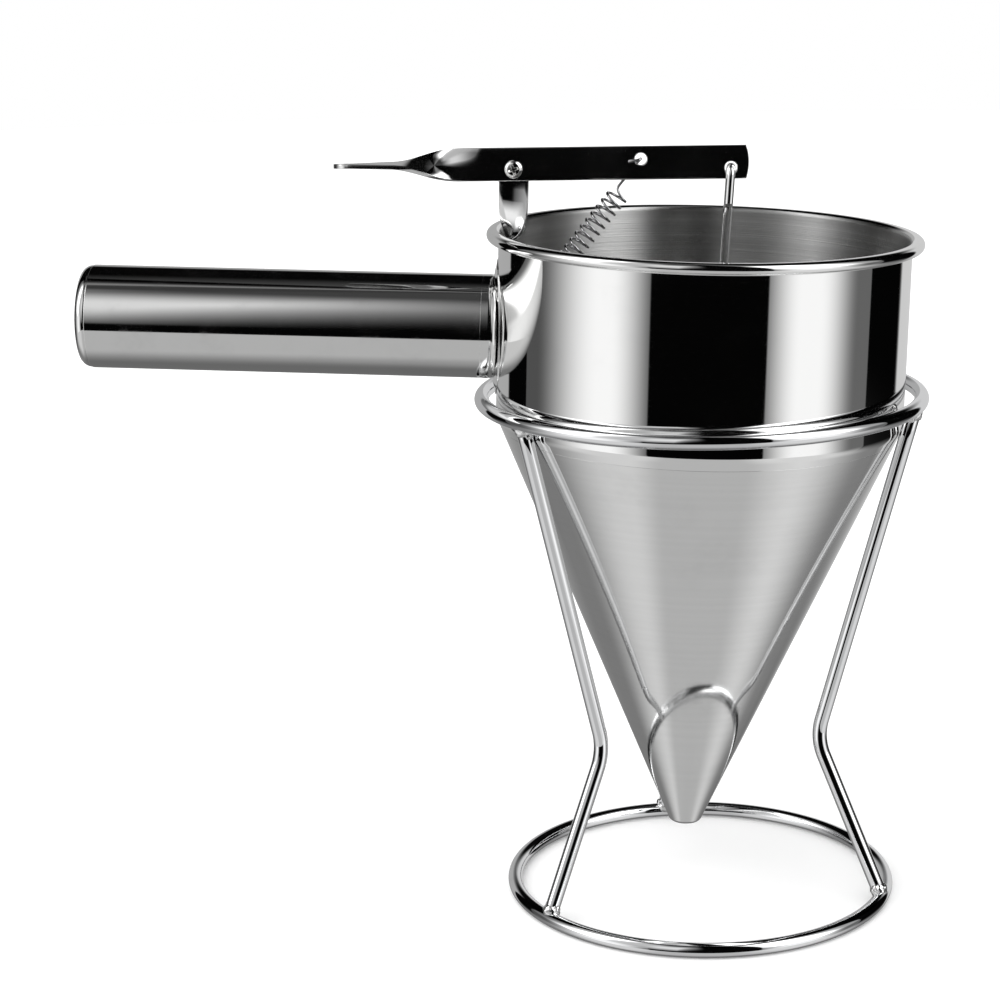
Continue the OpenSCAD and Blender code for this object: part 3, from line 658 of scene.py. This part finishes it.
def make_stand():
    """Two rings and three legs, each a round wire along its path."""
    for name, r, z in (("top", TOP_RING_R, STAND_H), ("bottom", BASE_RING_R, WIRE_R)):
        grid = wire(ring_path(r, z), WIRE_R, np.array([0.0, 0.0, 1.0]), 28, closed=True)
        piece(f"stand_{name}_ring_wire", [grid], CHROME, "stand", [f"stand_{name}_ring"], ((True, True),))
    for name, angle in zip(("back", "front_left", "front_right"), LEG_ANGLES):
        grid = wire(upright(leg_path(), angle), WIRE_R, square_to(angle), 28, nose=0.05)
        piece(f"leg_{name}_wire", [grid], CHROME, "stand", [f"stand_leg_{name}"])


def weld_bead(middle, r, seed, steps=40):
    """A ball of run metal: radius r with a few low lumps, sines of the point's own place."""
    a = np.linspace(0, np.pi, steps)
    ball = revolved(np.stack([np.sin(a), np.cos(a)], 1), 2 * steps)
    shift = np.random.default_rng(seed).uniform(0, 6.28, 9)
    x, y, z = np.moveaxis(ball, -1, 0)
    lumps = (np.sin(5 * x + shift[0]) * np.sin(4 * y + shift[1])
             + np.sin(6 * z + shift[2]) * np.sin(5 * x + shift[3])
             + 0.5 * np.sin(11 * y + shift[4]) * np.sin(12 * z + shift[5]))
    return middle + ball * (r * (1 + 0.05 * lumps))[..., None]


def make_welds():
    """At each joint a ball of metal round the leg's end and two smaller runs beside it, along
    the ring and towards the leg."""
    path = leg_path()
    up, down = unit(path[0] - path[1]), unit(path[-1] - path[-2])
    grids = []
    for angle in LEG_ANGLES:
        for k, (end, out) in enumerate(((path[0], up), (path[-1], down))):
            joint = end - out * LEG_CUT
            seed = 10 * k + int(angle)
            grids.append(weld_bead(upright(joint[None], angle)[0], WELD_R, seed))
            for side in (-1, 1):
                beside = upright((joint - out * RUN_DOWN)[None], angle)[0]
                beside = beside + side * RUN_BESIDE * square_to(angle)
                grids.append(weld_bead(beside, RUN_R, 50 + seed + side, 24))
    piece("weld_beads", grids, WELD, "stand", ["stand_welds"])


make_stand()
make_welds()

# ---------------------------------------------------------------- hopper


def on_cone(run, deep=0.0):
    """A point of the cone's outer side, a run down the slope from its edge and deep inside."""
    return (HOPPER_R - run * math.sin(CONE_HALF) - deep * math.cos(CONE_HALF),
            -run * math.cos(CONE_HALF) + deep * math.sin(CONE_HALF))


def sheet(name, profile, outer_and_inner, inner_from, node):
    """A revolved sheet with two materials: from row inner_from to the last but one, the second, which on the
    hopper is the brushed inside darkened with painted shade.
    """
    grid = revolved(profile, 320)
    slots = np.zeros(grid.shape[:2], int)
    slots[inner_from:-1] = 1
    piece(name, [seated(grid)], outer_and_inner, "funnel", [node], ((True, True),), [slots])


def make_hopper():
    """Cylinder: up from the seam, round the shoulder, up the wall, over into the open curl of
    the rim and back down inside. Cone: down the outer slope, round the lip and back up."""
    half = math.degrees(CONE_HALF)
    seam = SHOULDER_Z + SHOULDER_BAND
    shoulder = (HOPPER_R - SHOULDER_R, SHOULDER_Z)
    rim = (INNER_R + RIM_R, HOPPER_H - RIM_R)
    bead = (INNER_R + RIM_W - RIM_R, rim[1])
    curl = -180 + math.degrees(math.acos((bead[0] - HOPPER_R - RIM_SLOT) / RIM_R))
    wall = outline(
        [on_cone(seam)], line(on_cone(seam), on_cone(SHOULDER_Z)),
        arc(shoulder, SHOULDER_R, -half, 0, 14),
        line((HOPPER_R, SHOULDER_Z), (HOPPER_R, rim[1])),
        arc(rim, RIM_R - SHEET_T, 180, 90, 12), arc(bead, RIM_R - SHEET_T, 90, curl, 24),
        arc(bead, RIM_R, curl, 90, 36), arc(rim, RIM_R, 90, 180, 20),
        line((INNER_R, rim[1]), (INNER_R, SHOULDER_Z)),
        arc(shoulder, SHOULDER_R - SHEET_T, 0, -half, 14),
        line(on_cone(SHOULDER_Z, SHEET_T), on_cone(seam, SHEET_T)), [on_cone(seam, SHEET_T)])
    # The inner rows of both sheets take the inside's material, darkened with painted shade.
    sheet("hopper_wall", wall, (MIRROR, INSIDE), len(wall) - 30, "hopper_cylinder")
    lip_z = -CONE_H + LIP_R
    lip = (HOPPER_R + lip_z * math.tan(CONE_HALF) - LIP_R / math.cos(CONE_HALF), lip_z)
    slope_end = arc(lip, LIP_R, -half, -110, 14)
    inner_end = arc(lip, LIP_R - SHEET_T, -110, -half, 14)
    cone = outline(
        [on_cone(seam)], line(on_cone(seam), slope_end[0]), slope_end, inner_end,
        line(inner_end[-1], on_cone(seam, SHEET_T)), [on_cone(seam, SHEET_T)])
    sheet("hopper_cone_sheet", cone, (SATIN, INSIDE), 18, "hopper_cone")


make_hopper()

# ---------------------------------------------------------------- handle


def on_handle(profile, segments=144):
    """A profile (radius, distance from the funnel's axis) turned about the handle's axis."""
    spun = revolved(profile, segments)
    return np.stack([-spun[..., 2], spun[..., 1], HANDLE_Z + spun[..., 0]], -1)


def make_handle():
    """Tube: a pipe with fine rounds at its edges. Far cap: a crown with a quarter round and a
    spigot in the tube. Front cap: the same, cut off on a circle just under the saddle."""
    far = TUBE_AT + TUBE_LEN
    bore = HANDLE_R - HANDLE_T
    tube = outline(
        arc((HANDLE_R - CAP_SEAM, TUBE_AT + CAP_SEAM), CAP_SEAM, -90, 0, 3),
        line((HANDLE_R, TUBE_AT + CAP_SEAM), (HANDLE_R, far - TUBE_EDGE)),
        arc((HANDLE_R - TUBE_EDGE, far - TUBE_EDGE), TUBE_EDGE, 0, 90, 4), [(bore, far)], [(bore, TUBE_AT)])
    piece("handle_tube_sheet", [seated(on_handle(tube))], TUBE, "funnel", ["handle_tube"], ((True, True),))
    spigot = bore - 0.02
    crown = far + CAP_LEN
    cap = outline(
        [(0, crown)], [(4, crown)], [(CAP_R - CAP_ROUND - 0.1, crown)],
        arc((CAP_R - CAP_ROUND, crown - CAP_ROUND), CAP_ROUND, 90, 0, 16),
        [(CAP_R, far + 0.06)], [(CAP_R - 0.12, far - 0.1)], [(spigot, far - 0.1)],
        [(spigot, far - CAP_SPIGOT)], [(0, far - CAP_SPIGOT)])
    piece("handle_end_cap_sheet", [seated(on_handle(cap))], TUBE, "funnel", ["handle_end_cap"])
    low = TUBE_AT - FRONT_CAP_LEN - FRONT_ROUND
    front = outline(
        [(0, TUBE_AT + CAP_SPIGOT)], [(spigot, TUBE_AT + CAP_SPIGOT)], [(spigot, TUBE_AT)],
        arc((HANDLE_R - CAP_SEAM, TUBE_AT - CAP_SEAM), CAP_SEAM, 90, 0, 3),
        line((HANDLE_R, TUBE_AT - CAP_SEAM), (HANDLE_R, FRONT_ROUND_AT)),
        arc((HANDLE_R - FRONT_ROUND, FRONT_ROUND_AT), FRONT_ROUND, 0, -90, 18),
        [(HANDLE_R - FRONT_ROUND - 0.1, low)], [(0, low)])
    points = on_handle(front)
    touch = -np.sqrt(np.maximum(SADDLE_R ** 2 - points[..., 1] ** 2, 0)) + 0.2
    points[..., 0] = np.minimum(points[..., 0], touch)
    piece("handle_front_cap_sheet", [seated(points)], TUBE, "funnel", ["handle_front_cap"])


def stadium(t):
    """Boundary of an upright stadium shape as t runs round from 0 to 1, with its outward
    direction: half turns about two middles, joined by the straight sides."""
    a = 2 * np.pi * t
    out = np.stack([np.sin(a), np.cos(a)], -1)
    middle = np.stack([0 * a, SADDLE_STRAIGHT * np.clip(40 * np.cos(a), -1, 1)], -1)
    return middle + SADDLE_ROUND * out, out


def make_saddle():
    """The stadium bent round the hopper's wall: x follows from y on a circle whose radius
    falls from the plate's outer face to a thin border, which lies on the wall."""
    edge, outward = stadium(np.linspace(0, 1, 193)[:-1])
    fall = np.linspace(SADDLE_BORDER, 0.12, 12)
    border = np.stack([fall, SADDLE_EDGE + (SADDLE_T - SADDLE_EDGE) * ease(fall / SADDLE_BORDER)], 1)
    section = outline([(15.0, SADDLE_T)], [(9.0, SADDLE_T)], border, [(0.0, SADDLE_EDGE - 0.1)],
                      [(0.0, 0.0)], [(3.0, -0.1)], [(9.0, -0.1)], [(15.0, -0.1)])
    inset, depth = section[:, 0, None], section[:, 1, None]
    flat = edge[None] - outward[None] * inset[..., None]
    flat[0] = flat[-1] = 0.0
    y = flat[..., 0]
    x = -np.sqrt((SADDLE_R - SADDLE_T + depth) ** 2 - y ** 2)
    piece("handle_saddle_plate", [seated(np.stack([x, y, HANDLE_Z + flat[..., 1]], -1))], MIRROR,
          "funnel", ["handle_saddle"])


make_handle()
make_saddle()

# ---------------------------------------------------------------- lever and post

FLAT_STEPS, CORNER_STEPS, PATCH_STEPS = 8, 4, 8
HOLE_ROUND = 0.3
TIP_HALF_W = 0.45                      # half the width that a round end's tip keeps


def strip_section(half_w, half_t, inset=0.0):
    """Rounded rectangle (thickness, width): front flat upwards, corners, back flat downwards.

    The first FLAT_STEPS faces are the front, and the back starts half way round.
    """
    edge = max(STRIP_EDGE - inset, 0.02)
    w, t = half_w - inset - edge, half_t - inset - edge
    front = np.stack([np.full(FLAT_STEPS + 1, -half_t + inset), np.linspace(-w, w, FLAT_STEPS + 1)], 1)
    top = outline(arc((-t, w), edge, 180, 90, CORNER_STEPS)[1:], arc((t, w), edge, 90, 0, CORNER_STEPS)[:-1])
    half = outline(front, top)
    return outline(half, -half)


def swept_strip(rows):
    """Sections carried along a strip. Each row has its place or places along it, its part of
    a quarter turn and its section, whose thickness and width mix by that turn's cosine and
    sine."""
    x = np.stack([np.broadcast_to(at, len(section)) for at, _, section in rows])
    a = np.radians([90 * part for _, part, _ in rows])[:, None]
    t, w = np.moveaxis(np.stack([section for _, _, section in rows]), -1, 0)
    return np.stack([x, t * np.cos(a) - w * np.sin(a), t * np.sin(a) + w * np.cos(a)], -1)


def round_end(plain, half_w, steps=14):
    """A round end from its tip inwards: how far out, by the sine of an angle, and the section
    there, by its cosine, down to a small flat."""
    yield half_w, plain * 0.0
    for a in np.linspace(0, np.pi / 2, steps + 1)[:0:-1]:
        wide = half_w * math.cos(a)
        yield half_w * math.sin(a), plain * ([1, wide / half_w] if wide > TIP_HALF_W
                                             else [0.6, TIP_HALF_W / half_w])


def hole_patch(x0, x1, middle, half_z, side):
    """A flat with a hole: straight lines from the rectangle's edge to the hole's, a small
    round into the hole, and down to the middle of the strip's thickness, where the patches
    of both sides meet."""
    xs, zs = np.linspace(x0, x1, PATCH_STEPS + 1), np.linspace(-half_z, half_z, FLAT_STEPS + 1)
    loop = np.stack([np.concatenate([xs[:-1], 0 * zs[1:] + x1, xs[:0:-1], 0 * zs[1:] + x0]),
                     np.concatenate([0 * xs[1:] - half_z, zs[:-1], 0 * xs[1:] + half_z, zs[:0:-1]])], 1)
    way = loop - middle
    way /= np.linalg.norm(way, axis=1, keepdims=True)
    outer = HOOK_HOLE_R + HOLE_ROUND
    t = np.linspace(0, 1, 5)[:, None, None]
    bend = np.radians(np.linspace(0, 90, 6))[1:, None, None]
    points = np.concatenate([loop * (1 - t) + (middle + way * outer) * t,
                             middle + way * (outer - HOLE_ROUND * np.sin(bend)),
                             (middle + way * HOOK_HOLE_R)[None]])
    depth = np.concatenate([np.zeros(5), HOLE_ROUND * (1 - np.cos(bend[:, 0, 0])), [LEVER_T / 2]])
    y = side * (LEVER_T / 2 - depth)
    return np.stack([points[..., 0], np.broadcast_to(y[:, None], points.shape[:2]), points[..., 1]], -1)


def make_lever():
    """The strip from its round thumb tab, flat, then the quarter turn, then on edge past the
    pivot and both holes to its bulged end."""
    half_w, half_t = LEVER_W / 2, LEVER_T / 2
    plain = strip_section(half_w, half_t)
    holes = ((SPRING_AT, SPRING_HOLE_UP, 5.0, 5.0), (ROD_AT, ROD_HOLE_UP, 5.0, 3.6))
    flat_from, tab_start = TWIST_FROM + TWIST_LEN, THUMB_REACH - half_w
    rows = [(-tab_start - reach, -TAB_TURN, section) for reach, section in round_end(plain, half_w)]
    rows += [(-flat_from - (tab_start - flat_from) * t, -1 - (TAB_TURN - 1) * t, plain)
             for t in np.linspace(1, 0, 9)[:-1]]
    rows += [(-TWIST_FROM - TWIST_LEN * t, -ease(t), plain) for t in np.linspace(1, 0, 41)]
    grids, slots, gaps = [], [], []
    for at, up, before, after in holes:
        gaps.append(slice(len(rows), len(rows) + PATCH_STEPS))
        rows += [(place, 0, plain) for place in np.linspace(at - before, at + after, PATCH_STEPS + 1)]
        for side in (-1, 1):
            grids.append(hole_patch(at - before, at + after, np.array([at, up]), half_w - STRIP_EDGE, side))
            slots.append(None)
    for a in np.radians(np.linspace(0, 90, 5)):
        section = strip_section(half_w, half_t, min(STRIP_EDGE * (1 - math.cos(a)), STRIP_EDGE - 0.03))
        bulge = section[:, 1] ** 2 / (2 * END_BULGE_R)
        rows.append((LEVER_REACH - STRIP_EDGE * (1 - math.sin(a)) - bulge, 0, section))
    rows.append((LEVER_REACH - 0.3, 0, plain * 0.0))
    marks = np.zeros((len(rows) - 1, len(plain)), int)
    for gap in gaps:
        for flat in (0, len(plain) // 2):
            marks[gap, flat:flat + FLAT_STEPS] = -1
    placed = [on_strip(grid + np.array([0, LEVER_Y, LEVER_UP])) for grid in [swept_strip(rows)] + grids]
    piece("lever_strip", placed, STRIP, "lever", ["lever"], slots=[marks] + slots)


def make_post():
    """The post's strip from its round top down through the quarter turn, most of which comes
    late, to its foot, lying against the wall below the turn; and the spring's tongue."""
    half_w, half_t = POST_W / 2, POST_T / 2
    plain = strip_section(half_w, half_t)
    full_at = POST_TWIST_TOP - POST_TOP + half_w
    rows = [(full_at - reach, 0, section) for reach, section in round_end(plain, half_w)]
    rows.append((full_at, 0, plain))
    rows += [((POST_TWIST_TOP - POST_TWIST_LOW) * t, t * (0.42 + 0.58 * t ** 3), plain)
             for t in np.linspace(0, 1, 41)]
    low = POST_TWIST_TOP - POST_LOW
    rows += [(low, 1, plain), (low, 1, plain * 0.0)]
    moved = np.maximum(0, 2 * np.array([part for _, part, _ in rows]) - 1)[:, None] ** 2
    down, across, side = np.moveaxis(swept_strip(rows), -1, 0)
    points = np.stack([PIVOT[0] + side + (POST_LOW_X - PIVOT[0]) * moved,
                       POST_Y * (1 - moved) + across, POST_TWIST_TOP - down], -1)
    # Below the turn the strip follows the wall's curve and stays inside it.
    wall = -np.sqrt(INNER_R ** 2 - points[..., 1] ** 2) - 0.05
    points[..., 0] = np.where(points[..., 2] < HOPPER_H, np.maximum(points[..., 0], wall), points[..., 0])
    tongue = strip_section(0.35 * POST_W, half_t)
    reach = np.array([0.0, 0.0, 2.0, 4.0, 5.2, 5.8, 6.0, 6.0])[:, None]
    narrow = np.array([0.0, 1.0, 1.0, 1.0, 0.93, 0.8, 0.6, 0.0])[:, None]
    across = tongue[:, 1] * narrow
    foot = np.stack([np.broadcast_to(-INNER_R + 0.3 + reach, across.shape), across,
                     SPRING_FOOT[2] + tongue[:, 0] * (narrow > 0)], -1)
    piece("lever_post_strip", [seated(points), seated(foot)], STRIP, "funnel", ["lever_post"])


make_lever()
make_post()

# ---------------------------------------------------------------- screw, washer and nut


def on_pivot(points):
    """From the screw's own axis, which points to the front, to the stand's frame."""
    return seated(np.stack([PIVOT[0] + points[..., 0], -points[..., 2], PIVOT[2] + points[..., 1]], -1))


def make_screw():
    """A head that is nearly level in the middle and falls off in a quarter ellipse, lowered
    where a cross is pressed into it, and a shank with a helical ridge behind the nut."""
    a = np.linspace(0, 2 * np.pi, 145)[:-1][None]
    rim = HEAD_R - 0.25
    bend = 0.25 * np.sin(np.linspace(0, np.pi / 2, 7))[1:]
    r = np.concatenate([np.linspace(0, rim, 56), rim + bend])[:, None]
    x, y = r * np.cos(a), r * np.sin(a)
    level = 0.6 * HEAD_R
    outer = np.clip((r - level) / (HEAD_R - level), 0, 1)
    dome = HEAD_H - 0.1 * (r / level) ** 2 - 1.3 * (1 - np.sqrt(1 - outer ** 2))
    turn = math.radians(20)
    u, v = x * math.cos(turn) + y * math.sin(turn), y * math.cos(turn) - x * math.sin(turn)

    def arm(p, q):
        return np.clip((0.42 - np.abs(q)) / 0.12, 0, 1) * np.clip((1.75 - np.abs(p)) / 0.5, 0, 1)

    head = np.stack([x, y, HEAD_SEAT + dome - np.maximum(arm(u, v), arm(v, u))], -1)
    under = revolved(np.array([(HEAD_R, 0.1), (HEAD_R - 0.05, 0.0), (SHANK_R, 0.0)]), 144)
    under[..., 2] += HEAD_SEAT
    z = np.linspace(0, -SHANK_LEN, 169)[:, None]
    ridge = 0.1 * np.cos(2 * np.pi * (z / THREAD_PITCH - a / (2 * np.pi)))
    r = SHANK_R + (z < -THREAD_FROM) * (ridge - THREAD_DEEP)
    shank = np.stack([r * np.cos(a), r * np.sin(a), np.broadcast_to(HEAD_SEAT + z, r.shape)], -1)
    end = np.zeros((1, 144, 3))
    end[..., 2] = HEAD_SEAT - SHANK_LEN
    piece("pivot_screw_head_and_shank", [on_pivot(np.concatenate([head, under, shank, end]))], SCREW,
          "funnel", ["pivot_screw"])


def make_washer_and_nut():
    """Washer: a flat ring with round edges. Nut: a hexagon, its flats by one over the cosine
    within each sixth of a turn, cut down near both faces by a cone."""
    washer = outline(arc((3.35, 1.65), 0.15, 0, 90, 4), arc((1.7, 1.65), 0.15, 90, 180, 4),
                     arc((1.7, 1.45), 0.15, 180, 270, 4), arc((3.35, 1.45), 0.15, 270, 360, 4))
    piece("pivot_washer_ring", [on_pivot(revolved(washer, 96))], SCREW, "funnel", ["pivot_washer"],
          ((True, True),))
    a = np.linspace(0, 2 * np.pi, 181)[:-1]
    hexagon = NUT_R / np.cos((a + np.pi / 6) % (np.pi / 3) - np.pi / 6)
    levels = np.array([NUT_FAR, NUT_FAR, -2.55, -2.35, -2.1, -1.6, -0.9, -0.55, -0.35, -0.22,
                       NUT_NEAR, NUT_NEAR])
    inset = np.minimum(levels - NUT_FAR, NUT_NEAR - levels)[:, None]
    r = np.minimum(hexagon, NUT_R + 1.7 * inset)
    r[0] = r[-1] = NUT_BORE_R
    nut = np.stack([r * np.cos(a), r * np.sin(a), np.broadcast_to(levels[:, None], r.shape)], -1)
    piece("pivot_nut_hexagon", [on_pivot(nut)], SCREW, "funnel", ["pivot_nut"], ((True, True),))


make_screw()
make_washer_and_nut()

# ---------------------------------------------------------------- rod, plug and spring


def on_rod(points):
    """From the rod's own frame, whose origin is at the lever's hole, to the stand's."""
    return seated(turned(points, ROD_LEAN) + ROD_HOLE)


def make_rod():
    """Up the long run, over a half circle through the lever's hole, and down the short leg."""
    back, front = LEVER_Y + HOOK_R, LEVER_Y - HOOK_R
    up = np.linspace([0, back, -ROD_LEN], [0, back, -HOOK_R], 40)
    a = np.linspace(0, np.pi, 25)[1:-1]
    over = np.stack([0 * a, LEVER_Y + HOOK_R * np.cos(a), -HOOK_R + HOOK_R * np.sin(a)], 1)
    down = np.linspace([0, front, -HOOK_R], [0, front, -HOOK_LEN], 8)
    path = np.concatenate([up, over, down])
    piece("valve_rod_wire", [on_rod(wire(path, ROD_R, np.array([1.0, 0, 0]), 28, nose=0.35))], ROD,
          "valve", ["valve_rod"])


def make_plug():
    """A turned cone with a straight band and a chamfer, its edges slightly rounded."""
    low, top, chamfer_at = -CONE_H + LIP_R - 0.5, PLUG_TOP_Z, PLUG_TOP_Z - PLUG_CHAMFER
    top_r = PLUG_R - PLUG_CHAMFER
    low_r = HOPPER_R + low * math.tan(CONE_HALF) - (SHEET_T + PLUG_GAP) / math.cos(CONE_HALF)
    profile = outline(
        [(0, low)], [(low_r - 0.3, low)], [(low_r - 0.05, low + 0.12)], [(low_r + 0.1, low + 0.4)],
        [(PLUG_R - 0.1, PLUG_SEAT_Z - 0.2)], [(PLUG_R, PLUG_SEAT_Z + 0.2)], [(PLUG_R, chamfer_at - 0.2)],
        [(PLUG_R - 0.12, chamfer_at + 0.12)], [(top_r + 0.2, top - 0.15)], [(top_r - 0.1, top)], [(0, top)])
    piece("valve_plug_turned", [seated(revolved(profile, 96))], ROD, "valve", ["valve_plug"])


def make_spring():
    """Open loop round the tongue, a helix of sixteen and a half turns beside the line from
    foot to lever, and a hook that rises behind the lever and comes through its hole. Cubic
    curves, which leave and arrive along the wire, join them."""
    span = np.linalg.norm(SPRING_TOP - SPRING_FOOT)
    way = (SPRING_TOP - SPRING_FOOT) / span
    side = np.array([-way[2], 0, way[0]])
    x, y, z = np.eye(3)
    a = np.radians(np.linspace(150, 390, 40))[:, None]
    loop = SPRING_FOOT + LOOP_R * x + LOOP_R * (np.cos(a) * z - np.sin(a) * x)
    run = span - COIL_BELOW_TOP - COIL_ABOVE_FOOT
    t = np.linspace(0, 1, int(COIL_TURNS * 30) + 1)[:, None]
    a = 2 * np.pi * COIL_TURNS * t
    coil = (SPRING_FOOT + way * (COIL_ABOVE_FOOT + run * t) - COIL_OFF * side
            + COIL_R * (np.cos(a) * side + np.sin(a) * y))
    clear = LEVER_T / 2 + 2 * SPRING_WIRE_R
    behind, front = SPRING_TOP + y * (LEVER_Y + clear), SPRING_TOP + y * (LEVER_Y - clear)
    tail = np.array([-4.0, 0, -1.0])

    def corner(point, one, two, r=1.1):
        q = np.linspace(0, 1, 9)[:, None]
        return point + one * r * (1 - q) ** 2 + two * r * q ** 2

    hook = np.concatenate([
        behind - way * np.array([[COIL_BELOW_TOP - 3.0], [6.0], [1.3]]), corner(behind, -way, -y),
        corner(front, y, unit(tail)), front + tail * np.array([[0.6], [1.0]])])
    first, last = along(loop), along(coil)

    def join(p, u, q, v, pull=2.6, steps=14):
        t = np.linspace(0, 1, steps + 2)[1:-1, None]
        p2, q2 = p + u * pull, q - v * pull
        return p * (1 - t) ** 3 + 3 * p2 * t * (1 - t) ** 2 + 3 * q2 * t ** 2 * (1 - t) + q * t ** 3

    path = np.concatenate([loop, join(loop[-1], first[-1], coil[0], last[0]), coil,
                           join(coil[-1], last[-1], hook[0], way), hook])
    kinds = np.concatenate([np.zeros(len(loop)), np.linspace(0, 1, 14), np.ones(len(coil)),
                            np.linspace(1, 2, 14), np.full(len(hook), 2.0)])[:, None]
    across = y * np.clip(1 - kinds, 0, 1) + way * (1 - np.abs(kinds - 1)) + side * np.clip(kinds - 1, 0, 1)
    grid = wire(path, SPRING_WIRE_R, across, 12, nose=0.12)
    made = piece("return_spring_coil", [seated(grid)], COIL, None, ["return_spring"])
    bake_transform(made)


make_rod()
make_plug()
make_spring()
